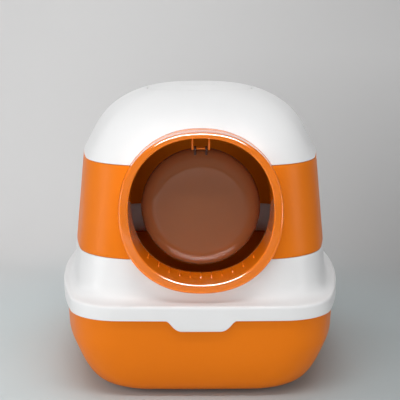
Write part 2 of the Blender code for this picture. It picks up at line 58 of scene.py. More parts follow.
def readHoodSizes():
    # Plan half sizes, heights and the doorway, from the CAD shells
    skirtLow, skirtHigh = boxOf("lower_hood")
    bandHigh = boxOf("hood_band")[1]
    domeLow, domeHigh = boxOf("hood_dome")
    ringLow, ringHigh = boxOf("entry_ring")
    hood = {
        "sideRadius": 0.800,        # the long sides and the short ends are shallow arcs
        "endRadius": 3.350,
        "wall": 0.0025,
        "flange": (skirtHigh.x, skirtHigh.y, 0.070),
        "lowSeam": (bandHigh.x, bandHigh.y, 0.088),
        "highSeam": (domeHigh.x, domeHigh.y, 0.090),
        "tabZ": skirtLow.z,
        "skirtZ": 0.1127,
        "flangeZ": 0.1285,
        "lowSeamZ": skirtHigh.z,
        "highSeamZ": domeLow.z,
        "topZ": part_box("filter_lid")[1][2],
        "doorRadius": (ringHigh.x - ringLow.x) / 2,
        "doorDrop": 0.0025,         # the ring's outer edge sits lower than the tunnel
        "doorSquash": 0.020,
        "doorPower": 2.2,
        "tunnelRadius": 0.0957,
    }
    hood["doorHole"] = hood["doorRadius"] - 0.0085      # the shells' opening, hidden under the ring
    hood["doorZ"] = ringLow.z + hood["doorRadius"] * (1 - hood["doorSquash"]) + hood["doorDrop"]
    run = hood["highSeamZ"] - hood["lowSeamZ"]
    hood["lean"] = (hood["lowSeam"][1] - hood["highSeam"][1]) / run
    hood["doorY"] = -hood["lowSeam"][1] + hood["lean"] * (hood["doorZ"] - hood["lowSeamZ"])
    return hood


hood = readHoodSizes()


# Curves

def mix(a, b, share):
    return a + (b - a) * share


def mixAll(first, second, share):
    return tuple(mix(a, b, share) for a, b in zip(first, second))


def bezierPoint(points, t):
    weights = ((1 - t) ** 3, 3 * t * (1 - t) ** 2, 3 * t * t * (1 - t), t ** 3)
    return tuple(sum(w * p[axis] for w, p in zip(weights, points)) for axis in (0, 1))


def bezier(points, count):
    return [bezierPoint(points, step / count) for step in range(count + 1)]


def arc(centre, radius, startDegrees, endDegrees, count):
    points = []
    for step in range(count + 1):
        angle = math.radians(mix(startDegrees, endDegrees, step / count))
        points.append((centre[0] + radius * math.cos(angle), centre[1] + radius * math.sin(angle)))
    return points


@functools.lru_cache(maxsize=None)
def cornerOf(halfW, halfD, corner):
    # Where the corner arc sits so that it meets the side arc and the end arc smoothly
    sideX = halfW - hood["sideRadius"]
    endY = halfD - hood["endRadius"]
    sideReach = hood["sideRadius"] - corner
    endReach = hood["endRadius"] - corner
    spanX, spanY = -sideX, endY
    span = math.hypot(spanX, spanY)
    along = (span ** 2 + sideReach ** 2 - endReach ** 2) / (2 * span)
    across = math.sqrt(sideReach ** 2 - along ** 2)
    unitX, unitY = spanX / span, spanY / span
    x = sideX + unitX * along - unitY * across
    y = unitY * along + unitX * across
    sideTurn = math.atan2(y, x - sideX)
    endTurn = math.atan2(y - endY, x)
    sideMeets = math.atan2(y + corner * math.sin(sideTurn), x + corner * math.cos(sideTurn))
    endMeets = math.atan2(y + corner * math.sin(endTurn), x + corner * math.cos(endTurn))
    return sideX, endY, x, y, sideMeets, endMeets


def planRadius(level, angle):
    # How far the outline lies from the middle in this direction
    halfW, halfD, corner, _, soft = level
    dx, dy = abs(math.cos(angle)), abs(math.sin(angle))
    turn = math.atan2(dy, dx)
    sideX, endY, cornerX, cornerY, sideMeets, endMeets = cornerOf(halfW, halfD, corner)
    if turn < sideMeets:
        cx, cy, radius = sideX, 0.0, hood["sideRadius"]
    elif turn < endMeets:
        cx, cy, radius = cornerX, cornerY, corner
    else:
        cx, cy, radius = 0.0, endY, hood["endRadius"]
    middle = dx * cx + dy * cy
    reach = middle + math.sqrt(max(middle ** 2 - cx ** 2 - cy ** 2 + radius ** 2, 0.0))
    ellipse = 1 / math.hypot(dx / halfW, dy / halfD)
    return mix(reach, ellipse, soft)


def planPoint(level, angle):
    reach = planRadius(level, angle)
    return (reach * math.cos(angle), reach * math.sin(angle), level[3])


domeShape = {"widths": ((0.150, 0.343), 0.1455), "depths": ((0.205, 0.377), 0.180), "softness": 0.75}


def domeLevel(t):
    # The dome's outline at share t of its rise; the ends are fuller than the sides
    seam, low, top = hood["highSeam"], hood["highSeamZ"], hood["topZ"]
    wideKnee, wideTop = domeShape["widths"]
    deepKnee, deepTop = domeShape["depths"]
    halfW, z = bezierPoint([(seam[0], low), wideKnee, (wideTop, top), (0.0, top)], t)
    halfD, _ = bezierPoint([(seam[1], low), deepKnee, (deepTop, top), (0.0, top)], t)
    corner = seam[2] * halfW / seam[0]
    return (halfW, halfD, corner, z, domeShape["softness"] * t ** 1.5)


def domeHeight(x, y):
    # Height of the dome's surface over a point of the plan
    angle, reach = math.atan2(y, x), math.hypot(x, y)
    low, high = 0.0, 0.9999
    for _ in range(26):
        t = (low + high) / 2
        if planRadius(domeLevel(t), angle) > reach:
            low = t
        else:
            high = t
    return domeLevel(low)[3]


def flangeLevel(share, z, inset=0.0):
    halfW, halfD, corner = mixAll(hood["flange"], hood["lowSeam"], share)
    return (halfW - inset, halfD - inset, corner - inset, z, 0.0)


def bandLevel(z, inset=0.0):
    share = (z - hood["lowSeamZ"]) / (hood["highSeamZ"] - hood["lowSeamZ"])
    halfW, halfD, corner = mixAll(hood["lowSeam"], hood["highSeam"], share)
    return (halfW - inset, halfD - inset, corner - inset, z, 0.0)


flangeShape = {
    # (share of the way in from the flange to the wall, height)
    "edge": [(0.0, 0.1285), (0.0, 0.1316), (0.05, 0.1328), (0.2, 0.1330)],
    "fillet": [(0.2, 0.1330), (0.73, 0.1338), (0.85, 0.1400), (0.9, 0.160)],
    "edgeSteps": 8, "filletSteps": 16, "wallSteps": 5, "below": 0.003,
}


def lowerHoodCurve():
    # From just below the flange's rounded edge, up the fillet and the wall to the seam
    shape = flangeShape
    edge = [(0.0, hood["flangeZ"] - shape["below"])] + bezier(shape["edge"], shape["edgeSteps"])
    fillet = bezier(shape["fillet"], shape["filletSteps"])[1:]
    share, z = shape["fillet"][-1]
    steps = shape["wallSteps"]
    wall = [mixAll((share, z), (1.0, hood["lowSeamZ"]), step / steps) for step in range(1, steps + 1)]
    return edge + fillet + wall


def hoodFrontY(x, z):
    # The front surface of the closed hood at this place
    if z <= hood["lowSeamZ"]:
        curve = lowerHoodCurve()
        for (shareA, zA), (shareB, zB) in zip(curve, curve[1:]):
            if zA <= z <= zB and zB > zA:
                level = flangeLevel(mix(shareA, shareB, (z - zA) / (zB - zA)), z)
    elif z <= hood["highSeamZ"]:
        level = bandLevel(z)
    else:
        low, high = 0.0, 0.9
        for _ in range(24):
            t = (low + high) / 2
            low, high = (t, high) if domeLevel(t)[3] < z else (low, t)
        level = domeLevel(low)
    low, high = 0.0, math.pi / 2
    for _ in range(24):
        angle = (low + high) / 2
        wide = planRadius(level, angle) * math.cos(angle) > abs(x)
        low, high = (angle, high) if wide else (low, angle)
    return -planRadius(level, low) * math.sin(low)


def doorPoint(radius, proud, angle):
    # A point of the superelliptic doorway, standing proud of the leaning front wall
    c, s, power = math.cos(angle), math.sin(angle), hood["doorPower"]
    share = max(radius - hood["tunnelRadius"], 0.0) / (hood["doorRadius"] - hood["tunnelRadius"])
    x = radius * math.copysign(abs(c) ** (2 / power), c)
    rise = radius * math.copysign(abs(s) ** (2 / power), s)
    rise = rise * (1 - hood["doorSquash"] * share) - hood["doorDrop"] * share
    return (x, hood["doorY"] - proud + rise * hood["lean"], hood["doorZ"] + rise)


# Modelling steps that several pieces share

def activeOnly(piece):
    bpy.ops.object.select_all(action="DESELECT")
    piece.select_set(True)
    bpy.context.view_layer.objects.active = piece


def closeUp(piece, smoothDegrees=35):
    # Merge the doubled points, point the faces out and shade the piece
    activeOnly(piece)
    bpy.ops.object.mode_set(mode="EDIT")
    bpy.ops.mesh.select_all(action="SELECT")
    bpy.ops.mesh.remove_doubles(threshold=0.00001)
    bpy.ops.mesh.normals_make_consistent(inside=False)
    bpy.ops.object.mode_set(mode="OBJECT")
    bpy.ops.object.shade_smooth_by_angle(angle=math.radians(smoothDegrees))


def rolledSheet(name, columns, rows, place):
    # A flat grid whose points are each put where place(column, row) says
    bpy.ops.object.select_all(action="DESELECT")
    bpy.ops.mesh.primitive_grid_add(x_subdivisions=columns, y_subdivisions=rows, size=1)
    piece = bpy.context.object
    piece.name = piece.data.name = name
    for vertex in piece.data.vertices:
        column = round((vertex.co.x + 0.5) * columns)
        row = round((vertex.co.y + 0.5) * rows)
        vertex.co = place(column, row)
    closeUp(piece)
    return piece


def applyModifier(piece, kind, **settings):
    activeOnly(piece)
    modifier = piece.modifiers.new(kind.lower(), kind)
    for key, value in settings.items():
        setattr(modifier, key, value)
    bpy.ops.object.modifier_apply(modifier=modifier.name)


def thicken(piece, thickness):
    applyModifier(piece, "SOLIDIFY", thickness=thickness, offset=-1, use_even_offset=True)


def cutWith(piece, cutter):
    applyModifier(piece, "BOOLEAN", object=cutter, operation="DIFFERENCE", solver="EXACT")
    bpy.data.objects.remove(cutter, do_unlink=True)


def joinPieces(pieces):
    activeOnly(pieces[0])
    for piece in pieces:
        piece.select_set(True)
    bpy.ops.object.join()
    return bpy.context.object


def block(name, centre, size, bevel, segments=3):
    # A cube primitive sized in edit mode, with every edge rounded
    bpy.ops.object.select_all(action="DESELECT")
    bpy.ops.mesh.primitive_cube_add(size=1, location=centre)
    piece = bpy.context.object
    piece.name = piece.data.name = name
    bpy.ops.object.mode_set(mode="EDIT")
    bpy.ops.mesh.select_all(action="SELECT")
    bpy.ops.transform.resize(value=size)
    bpy.ops.mesh.bevel(offset=bevel, segments=segments, affect="EDGES")
    bpy.ops.object.mode_set(mode="OBJECT")
    bpy.ops.object.transform_apply(location=True, rotation=True, scale=True)
    bpy.ops.object.shade_smooth_by_angle(angle=math.radians(40))
    return piece


def doorCutter(radius):
    # A cylinder primitive across the front wall, drawn out to the doorway's outline
    bpy.ops.object.select_all(action="DESELECT")
    bpy.ops.mesh.primitive_cylinder_add(vertices=256, radius=1, depth=2)
    cutter = bpy.context.object
    for vertex in cutter.data.vertices:
        proud = 0.070 if vertex.co.z > 0 else -0.060
        vertex.co = doorPoint(radius, proud, math.atan2(vertex.co.y, vertex.co.x))
    closeUp(cutter)
    return cutter


# Materials

def newMaterial(name):
    material = bpy.data.materials.new(name)
    material.use_nodes = True
    nodes = material.node_tree.nodes
    return material, nodes, material.node_tree.links, nodes["Principled BSDF"]


def addNoise(nodes, links, scale, detail=3.0):
    coordinates = nodes.new("ShaderNodeTexCoord")
    noise = nodes.new("ShaderNodeTexNoise")
    noise.inputs["Scale"].default_value = scale
    noise.inputs["Detail"].default_value = detail
    links.new(coordinates.outputs["Object"], noise.inputs["Vector"])
    return noise


def addSpread(nodes, links, source, low, high):
    spread = nodes.new("ShaderNodeMapRange")
    spread.inputs["From Min"].default_value = 0.3
    spread.inputs["From Max"].default_value = 0.7
    spread.inputs["To Min"].default_value = low
    spread.inputs["To Max"].default_value = high
    links.new(source, spread.inputs["Value"])
    return spread.outputs["Result"]


def addBump(nodes, links, noise, depth):
    bump = nodes.new("ShaderNodeBump")
    bump.inputs["Distance"].default_value = depth
    bump.inputs["Strength"].default_value = 0.5
    links.new(noise.outputs["Fac"], bump.inputs["Height"])
    return bump


def mouldedPlastic(name, look):
    # Injection-moulded plastic: cloudy tone, uneven gloss, faint grain and slow ripples in the surface
    material, nodes, links, shader = newMaterial(name)
    cloud = addNoise(nodes, links, look["cloudScale"])
    tone = nodes.new("ShaderNodeMix")
    tone.data_type = "RGBA"
    tone.inputs["A"].default_value = (*look["dark"], 1)
    tone.inputs["B"].default_value = (*look["light"], 1)
    links.new(addSpread(nodes, links, cloud.outputs["Fac"], 0, 1), tone.inputs["Factor"])
    links.new(tone.outputs["Result"], shader.inputs["Base Color"])
    gloss = addNoise(nodes, links, look["glossScale"])
    rough = look["rough"]
    links.new(addSpread(nodes, links, gloss.outputs["Fac"], rough[0], rough[1]), shader.inputs["Roughness"])
    grain = addNoise(nodes, links, look["grainScale"], 4.0)
    ripple = addNoise(nodes, links, look["rippleScale"], 1.0)
    grainBump = addBump(nodes, links, grain, look["grainDepth"])
    rippleBump = addBump(nodes, links, ripple, look["rippleDepth"])
    links.new(rippleBump.outputs["Normal"], grainBump.inputs["Normal"])
    links.new(grainBump.outputs["Normal"], shader.inputs["Normal"])
    shader.inputs["Specular IOR Level"].default_value = look.get("specular", 0.5)
    shader.inputs["Alpha"].default_value = look.get("alpha", 1.0)
    return material


whiteLook = {
    "dark": (0.735, 0.738, 0.742), "light": (0.77, 0.77, 0.77), "rough": (0.34, 0.42), "specular": 0.35,
    "cloudScale": 6, "glossScale": 18, "grainScale": 900, "grainDepth": 0.00004,
    "rippleScale": 14, "rippleDepth": 0.0004,
}
orangeLook = {
    "dark": (0.74, 0.172, 0.004), "light": (0.78, 0.186, 0.005), "rough": (0.36, 0.44), "specular": 0.16,
    "cloudScale": 6, "glossScale": 18, "grainScale": 900, "grainDepth": 0.00004,
    "rippleScale": 14, "rippleDepth": 0.0004,
}
ringLook = {
    "dark": (0.74, 0.165, 0.003), "light": (0.78, 0.178, 0.004), "rough": (0.07, 0.10),
    "cloudScale": 8, "glossScale": 22, "grainScale": 1200, "grainDepth": 0.00002,
    "rippleScale": 20, "rippleDepth": 0.0001, "specular": 0.75,
}
smokedLook = {
    "dark": (0.215, 0.074, 0.028), "light": (0.235, 0.082, 0.032), "rough": (0.07, 0.10),
    "cloudScale": 9, "glossScale": 15, "grainScale": 700, "grainDepth": 0.00001,
    "rippleScale": 8, "rippleDepth": 0.0001, "specular": 0.4, "alpha": 0.86,
}
hookLook = {
    "dark": (0.045, 0.016, 0.010), "light": (0.060, 0.020, 0.013), "rough": (0.08, 0.14),
    "cloudScale": 60, "glossScale": 60, "grainScale": 1500, "grainDepth": 0.00001,
    "rippleScale": 60, "rippleDepth": 0.0001,
}
linerLook = {
    "dark": (0.66, 0.66, 0.64), "light": (0.72, 0.72, 0.70), "rough": (0.42, 0.55),
    "cloudScale": 12, "glossScale": 30, "grainScale": 700, "grainDepth": 0.00006,
    "rippleScale": 25, "rippleDepth": 0.0003,
}
rubberLook = {
    "dark": (0.030, 0.030, 0.030), "light": (0.045, 0.045, 0.045), "rough": (0.70, 0.85),
    "cloudScale": 40, "glossScale": 60, "grainScale": 1500, "grainDepth": 0.00010,
    "rippleScale": 80, "rippleDepth": 0.0002,
}
feltLook = {
    "dark": (0.012, 0.012, 0.012), "light": (0.030, 0.030, 0.030), "rough": (0.90, 1.00),
    "cloudScale": 300, "glossScale": 200, "grainScale": 1800, "grainDepth": 0.00060,
    "rippleScale": 160, "rippleDepth": 0.0010, "specular": 0.2,
}
finishes = {
    "white": mouldedPlastic("satinWhitePlastic", whiteLook),
    "orange": mouldedPlastic("satinOrangePlastic", orangeLook),
    "ring": mouldedPlastic("glossyOrangePlastic", ringLook),
    "smoked": mouldedPlastic("smokedClearPlastic", smokedLook),
    "hook": mouldedPlastic("darkSmokedPlastic", hookLook),
    "liner": mouldedPlastic("innerWhitePlastic", linerLook),
    "rubber": mouldedPlastic("greyRubber", rubberLook),
    "felt": mouldedPlastic("charcoalFelt", feltLook),
}


def setFinish(piece, *names):
    piece.data.materials.clear()
    for name in names:
        piece.data.materials.append(finishes[name])


def settle(piece, body, slot, *nodes):
    # The piece moves with its body and stands for its CAD nodes
    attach(piece, body)
    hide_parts(*nodes)
    print("made", piece.name, len(piece.data.polygons), "faces")


# The orange tray

trayLook = {
    "columns": 240, "lip": 0.0007, "rimInset": 0.0042, "capZ": 0.115, "baseCorner": 0.061, "baseRows": 5,
    # (how far inside the flange, height above the floor), from the flat base up to the waist
    "sides": [(0.0716, 0.0043), (0.0406, 0.0043), (0.0270, 0.022), (0.0072, 0.070)],
    "ends": [(0.0500, 0.0043), (0.0260, 0.0043), (0.0125, 0.022), (0.0075, 0.070)],
    "wallSteps": 30, "rimSteps": 6,
}


def trayLevels():
    # The wall's distance inside the flange is worked out apart for the sides and the ends
    top = boxOf("tray")[1].z
    rim, lip, rimSteps = trayLook["rimInset"], trayLook["lip"], trayLook["rimSteps"]
    sides = bezier(trayLook["sides"], trayLook["wallSteps"])
    ends = bezier(trayLook["ends"], trayLook["wallSteps"])
    profile = [(side, end, z) for (side, z), (end, _) in zip(sides, ends)]
    last, cap = profile[-1], (rim, rim, trayLook["capZ"])
    profile += [mixAll(last, cap, step / rimSteps) for step in range(1, rimSteps + 1)]
    profile += [(rim, rim, top - lip), (rim + lip, rim + lip, top)]
    levels = []
    halfW, halfD, corner = hood["flange"]
    for side, end, z in profile:
        share = side / sides[0][0]
        levels.append((halfW - side, halfD - end, mix(corner, trayLook["baseCorner"], share), z, 0.0))
    return levels


def makeTray():
    levels = trayLevels()
    columns, middleRows = trayLook["columns"], trayLook["baseRows"]

    def place(column, row):
        angle = math.tau * (column % columns) / columns
        if row < middleRows:      # the flat base closes to its middle
            x, y, z = planPoint(levels[0], angle)
            share = row / middleRows
            return (x * share, y * share, z)
        return planPoint(levels[row - middleRows], angle)

    tray = rolledSheet("litterTray", columns, middleRows + len(levels) - 1, place)
    thicken(tray, hood["wall"])
    setFinish(tray, "orange")
    settle(tray, "tray", "orange_shell", "tray")


makeTray()


# The white lower hood: skirt, front tab, flange and wall

lowerLook = {"lip": 0.0008, "tabRoot": 0.047, "tabKnee": 0.041, "tabBelly": 0.0375, "tabFoot": 0.025,
             "tabMargin": 0.004, "tabStep": 0.0008, "turnStep": 2.0}


def skirtAngles():
    # Angles round the hood, close together where the front tab's shoulders are
    halfD = hood["flange"][1]
    reach = lowerLook["tabRoot"] + lowerLook["tabMargin"]
    count = math.ceil(2 * reach / lowerLook["tabStep"])
    places = [mix(-reach, reach, step / count) for step in range(count + 1)]
    front = [-math.pi / 2 + math.atan2(x, halfD) for x in places]
    span = front[0] + math.tau - front[-1]
    steps = math.ceil(math.degrees(span) / lowerLook["turnStep"])
    rest = [front[-1] + span * step / steps for step in range(1, steps)]
    return front + rest + [front[0] + math.tau]


def tabDrop(x, y):
    # How far the skirt's edge hangs down here, with S-shaped shoulders
    if y > 0 or abs(x) > lowerLook["tabRoot"]:
        return 0.0
    curve = [(lowerLook["tabRoot"], 0.0), (lowerLook["tabKnee"], 0.0),
             (lowerLook["tabBelly"], 1.0), (lowerLook["tabFoot"], 1.0)]
    low, high = 0.0, 1.0
    for _ in range(20):
        t = (low + high) / 2
        low, high = (t, high) if bezierPoint(curve, t)[0] > abs(x) else (low, t)
    return (hood["skirtZ"] - hood["tabZ"]) * bezierPoint(curve, low)[1]


def makeLowerHood():
    angles = skirtAngles()
    lip, low = lowerLook["lip"], hood["skirtZ"]
    skirtTop = hood["flangeZ"] - flangeShape["below"]
    rows = [(flangeLevel(0.0, low, lip), 1.0), (flangeLevel(0.0, low + 0.3 * lip, 0.3 * lip), 1.0),
            (flangeLevel(0.0, low + lip), 1.0)]
    rows += [(flangeLevel(0.0, mix(low + lip, skirtTop, step / 6)), 1 - step / 6) for step in range(1, 6)]
    curve = lowerHoodCurve()
    rows += [(flangeLevel(share, z), 0.0) for share, z in curve[:-1]]
    seam = hood["lowSeamZ"]
    rows += [(flangeLevel(1.0, seam - lip), 0.0), (flangeLevel(1.0, seam - 0.3 * lip, 0.3 * lip), 0.0),
             (flangeLevel(1.0, seam, lip), 0.0)]

    def place(column, row):
        level, hang = rows[row]
        x, y, z = planPoint(level, angles[column])
        return (x, y, z - hang * tabDrop(x, y))

    shell = rolledSheet("lowerHoodShell", len(angles) - 1, len(rows) - 1, place)
    thicken(shell, hood["wall"])
    cutWith(shell, doorCutter(hood["doorHole"]))
    setFinish(shell, "white")
    settle(shell, "hood", "white_shell", "lower_hood")


makeLowerHood()


# The orange band

bandLook = {"columns": 240, "rows": 22, "lip": 0.0006, "seam": 0.0003, "tongue": 0.006, "step": 0.0029,
            "inside": 0.0046, "lean": 0.0042}


def makeBand():
    columns, rows, lip = bandLook["columns"], bandLook["rows"], bandLook["lip"]
    low, high = hood["lowSeamZ"] + bandLook["seam"], hood["highSeamZ"] - bandLook["seam"]
    lean = bandLook["lean"]
    tongue, step, inside = bandLook["tongue"], bandLook["step"], bandLook["inside"]
    levels = [bandLevel(low - tongue, inside), bandLevel(low - tongue, step), bandLevel(low, step),
              bandLevel(low, lip), bandLevel(low + 0.3 * lip, 0.3 * lip)]
    levels += [bandLevel(mix(low + lip, high - lip, share / rows)) for share in range(rows + 1)]
    levels += [bandLevel(high - 0.3 * lip, 0.3 * lip), bandLevel(high, lip), bandLevel(high, step),
               bandLevel(high + tongue, step + lean), bandLevel(high + tongue, inside + lean)]
    levels += [levels[0]]

    def place(column, row):
        return planPoint(levels[row], math.tau * (column % columns) / columns)

    band = rolledSheet("hoodBand", columns, len(levels) - 1, place)
    cutWith(band, doorCutter(hood["doorHole"]))
    setFinish(band, "orange")
    settle(band, "hood", "orange_shell", "hood_band")


makeBand()


# The white dome and its round lid

domeLook = {"columns": 240, "rise": 40, "start": 0.008, "reach": 0.68, "crown": 12, "lip": 0.0006,
            "hole": 0.0780, "edge": 0.0004, "lid": 0.0772, "lidRings": 24}
ventLook = {"count": 5, "pitch": 0.013, "width": 0.003, "longest": 0.060, "spread": 0.62, "deep": 0.020}
plugLook = {"inner": 0.0690, "outer": 0.0712, "edge": 0.0006}


def makeDome():
    columns, lip = domeLook["columns"], domeLook["lip"]
    low = hood["highSeamZ"] + bandLook["seam"]
    seam = [bandLevel(low, lip), bandLevel(low + 0.3 * lip, 0.3 * lip)]
    levels = seam + [domeLevel(mix(domeLook["start"], domeLook["reach"], step / domeLook["rise"]))
                     for step in range(domeLook["rise"] + 1)]
    last = levels[-1]

    def place(column, row):
        angle = math.tau * (column % columns) / columns
        if row < len(levels):
            return planPoint(levels[row], angle)
        share = (row - len(levels) + 1) / domeLook["crown"]
        reach = mix(planRadius(last, angle), domeLook["hole"], share)
        x, y = reach * math.cos(angle), reach * math.sin(angle)
        return (x, y, domeHeight(x, y))

    dome = rolledSheet("hoodDome", columns, len(levels) - 1 + domeLook["crown"], place)
    thicken(dome, hood["wall"])
    cutWith(dome, doorCutter(hood["doorHole"]))
    applyModifier(dome, "BEVEL", width=domeLook["edge"], segments=2, limit_method="ANGLE",
                  angle_limit=math.radians(60))
    setFinish(dome, "white")
    settle(dome, "hood", "white_shell", "hood_dome")


def makeLid():
    columns, rings = domeLook["columns"], domeLook["lidRings"]
    radius, lip = domeLook["lid"], domeLook["lip"]

    def place(column, row):
        angle = math.tau * (column % columns) / columns
        reach = (radius - lip) * row / rings if row <= rings else radius
        x, y = reach * math.cos(angle), reach * math.sin(angle)
        drop = 0.0 if row <= rings else lip
        return (x, y, min(domeHeight(x, y), hood["topZ"]) - drop)

    lid = rolledSheet("filterLid", columns, rings + 1, place)
    thicken(lid, hood["wall"])
    for index in range(ventLook["count"]):
        y = (index - (ventLook["count"] - 1) / 2) * ventLook["pitch"]
        share = y / (ventLook["count"] * ventLook["pitch"] * ventLook["spread"])
        size = (ventLook["longest"] * math.sqrt(1 - share ** 2), ventLook["width"], ventLook["deep"])
        cutWith(lid, block("ventCutter", (0, y, hood["topZ"]), size, ventLook["width"] * 0.45, 4))
    joinPieces([lid, makePlug()])
    setFinish(lid, "white")
    settle(lid, "filter_lid", "white_shell", "filter_lid")


def makePlug():
    # The round collar under the lid that drops into the seat
    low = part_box("filter_lid")[0][2]
    inner, outer, edge = plugLook["inner"], plugLook["outer"], plugLook["edge"]
    profile = [(inner, low + edge), (inner + edge, low), (outer - edge, low), (outer, low + edge)]
    columns = domeLook["columns"]

    def place(column, row):
        angle = math.tau * (column % columns) / columns
        if 1 <= row <= 4:
            radius, z = profile[row - 1]
        else:
            radius = outer if row == 5 else inner
            z = domeHeight(radius * math.cos(angle), radius * math.sin(angle)) - hood["wall"] / 2
        return (radius * math.cos(angle), radius * math.sin(angle), z)

    return rolledSheet("lidPlug", columns, 6, place)


makeDome()
makeLid()


# The entry ring, its tunnel and ribs

ringSizes = {
    "columns": 288, "crest": 0.0220, "rearRadius": 0.0945, "rearDepth": 0.044, "lipRound": 0.0020,
    "shoulderRound": 0.0042, "crestFall": 0.0006, "flare": 0.0014, "backDepth": 0.026,
    "tunnelOuter": 0.0978, "overlap": 0.0004, "sideRows": 8, "tunnelSteps": 12,
}
ribLook = {"count": 11, "pitch": 0.0141, "length": 0.030, "width": 0.0016, "height": 0.0012,
           "endGap": 0.002, "root": 0.0002}


def ringProfile():
    # (radius, proud) from the rear of the tunnel, over the lip and the crest, down the outer side
    sizes = ringSizes
    rear, front, outer = sizes["rearRadius"], hood["tunnelRadius"], hood["doorRadius"]
    lip, shoulder, depth = sizes["lipRound"], sizes["shoulderRound"], sizes["rearDepth"]
    profile = [(rear + 0.0008, -depth), (rear + 0.0002, -depth + 0.0002)]
    steps = sizes["tunnelSteps"]
    profile += [(mix(rear, front, step / steps), mix(-depth + 0.0008, sizes["crest"] - lip, step / steps))
                for step in range(steps)]
    profile += arc((front + lip, sizes["crest"] - lip), lip, 180, 84, 8)
    profile += arc((outer - shoulder, sizes["crest"] - sizes["crestFall"] - shoulder), shoulder, 84, 0, 10)
    return profile


def makeEntryRing():
    sizes = ringSizes
    profile, columns, sideRows = ringProfile(), sizes["columns"], sizes["sideRows"]
    outer, tunnel = hood["doorRadius"], sizes["tunnelOuter"]
    back, rear = sizes["backDepth"], sizes["rearDepth"]
    hidden = [(outer - 0.005, -back), (tunnel, -back), (tunnel - 0.0003, -rear + 0.0006),
              (tunnel - 0.0008, -rear), profile[0]]

    def place(column, row):
        angle = math.tau * (column % columns) / columns
        if row < len(profile):
            return doorPoint(*profile[row], angle)
        if row < len(profile) + sideRows:      # the outer side flares as it meets the hood
            y = doorPoint(*profile[-1], angle)[1]
            share = (row - len(profile) + 1) / sideRows
            radius = outer + sizes["flare"] * share ** 6
            foot = doorPoint(radius, 0.0, angle)
            ground = hoodFrontY(foot[0], foot[2]) + sizes["overlap"]
            return (foot[0], mix(y, ground, share), foot[2])
        return doorPoint(*hidden[row - len(profile) - sideRows], angle)

    ring = rolledSheet("entryRing", columns, len(profile) + sideRows + len(hidden) - 1, place)
    joinPieces([ring] + makeRibs())
    setFinish(ring, "ring")
    settle(ring, "hood", "orange_gloss", "entry_ring")


def makeRibs():
    # One rounded rib, copied along the rear of the tunnel floor
    look, radius, power = ribLook, ringSizes["rearRadius"], hood["doorPower"]
    size = (look["width"], look["length"], look["height"] * 2)
    first = block("tunnelRib", (0, 0, 0), size, look["width"] * 0.4)
    ribs = []
    for index in range(look["count"]):
        x = (index - (look["count"] - 1) / 2) * look["pitch"]
        rise = radius * (1 - (abs(x) / radius) ** power) ** (1 / power)
        end = hood["doorY"] + ringSizes["rearDepth"] - look["endGap"]
        middle = end - look["length"] / 2 - rise * hood["lean"]
        rib = first.copy()
        rib.data = first.data.copy()
        bpy.context.collection.objects.link(rib)
        for vertex in rib.data.vertices:
            vertex.co += Vector((x, middle, hood["doorZ"] - rise - look["root"]))
        ribs.append(rib)
    bpy.data.objects.remove(first, do_unlink=True)
    return ribs


makeEntryRing()


# The hinge bracket and the smoked flap

for joint in frame["joints"]:
    if joint["name"] == "flap_swing":
        hinge = {"y": joint["pos_m"][1], "z": joint["pos_m"][2]}

bracketLook = {"halfSpan": 0.0112, "arm": 0.0026, "bar": 0.0012, "depth": 0.0036, "pad": 0.010,
               "padHeight": 0.002, "padLip": 0.0004, "gap": 0.0004}


def makeBracket():
    look, high = bracketLook, boxOf("hinge_bracket")[1].z
    bottom, top = hinge["z"] - look["depth"] / 2, high - look["gap"]
    parts = []
    for side in (-1, 1):
        x = side * look["halfSpan"]
        armSize = (look["arm"], look["depth"], top - bottom)
        parts.append(block("hingeBracket", (x, hinge["y"], (bottom + top) / 2), armSize, 0.0007))
        padMiddle = (x, hinge["y"] + (look["pad"] - look["depth"]) / 2, high - look["padHeight"] / 2)
        padSize = (look["arm"] + look["padLip"], look["pad"], look["padHeight"])
        parts.append(block("bracketPad", padMiddle, padSize, 0.0005))
    bpy.ops.object.select_all(action="DESELECT")
    bpy.ops.mesh.primitive_cylinder_add(vertices=32, radius=look["bar"], depth=2 * look["halfSpan"],
                                        location=(0, hinge["y"], hinge["z"]), rotation=(0, math.pi / 2, 0))
    bar = bpy.context.object
    bpy.ops.object.transform_apply(location=True, rotation=True, scale=True)
    bpy.ops.object.shade_smooth_by_angle(angle=math.radians(40))
    parts.append(bar)
    bracket = joinPieces(parts)
    setFinish(bracket, "ring")
    settle(bracket, "hood", "orange_gloss", "hinge_bracket")


flapLook = {"radius": 0.0812, "bulge": 0.0050, "flat": 0.056, "rim": 0.0125, "wall": 0.0022, "columns": 192,
            "flatRings": 6, "rimRings": 26, "edge": 0.0007}
hookSizes = {"x": 0.0075, "width": 0.0032, "eye": 0.0034, "bore": 0.0015, "edge": 0.0005, "reach": 0.0100,
             "legTop": 0.0022, "legDepth": 0.0038, "legBack": 0.0009, "columns": 32}


